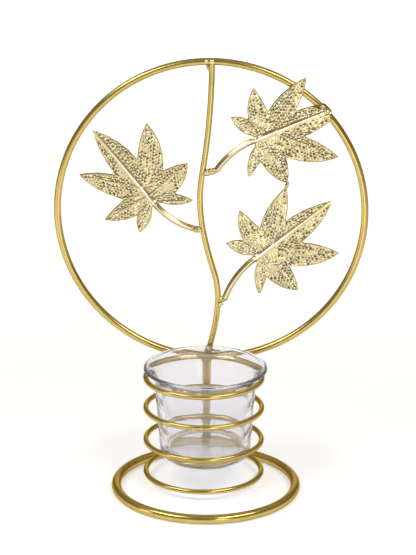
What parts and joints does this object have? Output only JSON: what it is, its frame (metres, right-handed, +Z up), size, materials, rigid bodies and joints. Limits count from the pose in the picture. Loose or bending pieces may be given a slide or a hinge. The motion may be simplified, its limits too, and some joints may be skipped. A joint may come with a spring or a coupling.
{
  "type": "tea light holder",
  "caption": "Gold wire tea light holder: a flat ring foot carries a glass cup in stacked rings, in front of an upright hoop with a bent stem and pressed lobed leaves.",
  "frame": {"origin": "middle of the ring foot, on the surface it stands on", "axes": "+Z up, +X to the right as seen from the front, -Y towards the front, where the cup stands"},
  "size_m": [0.1764, 0.1066, 0.2345],
  "materials": {
    "gold_wire": "satin gold on steel wire",
    "gold_leaf": "pale gold on hammered steel sheet",
    "gold_weld": "satin gold over uneven weld metal",
    "clear_glass": "clear, fire-polished"
  },
  "bodies": {
    "stand": {"base_ring": "gold_wire", "post": "gold_wire", "post_foot_weld": "gold_weld", "hoop": "gold_wire", "hoop_foot_weld": "gold_weld", "stem": "gold_wire", "stem_foot_weld": "gold_weld", "stem_top_weld": "gold_weld", "leaf_tip_weld": "gold_weld", "cup_ring_top": "gold_wire", "ring_weld_top": "gold_weld", "cup_ring_upper": "gold_wire", "ring_weld_upper": "gold_weld", "cup_ring_lower": "gold_wire", "ring_weld_lower": "gold_weld", "cup_ring_bottom": "gold_wire", "ring_weld_bottom": "gold_weld", "leaf_left": "gold_leaf", "stalk_weld_left": "gold_weld", "leaf_upper": "gold_leaf", "stalk_weld_upper": "gold_weld", "leaf_lower": "gold_leaf", "stalk_weld_lower": "gold_weld"},
    "cup": {"glass_cup": "clear_glass"}
  },
  "joints": [
    {"name": "cup_lift", "type": "slide", "parent": "stand", "child": "cup", "axis": [0, 0, 1], "range_m": [0, 0.06]}
  ]
}
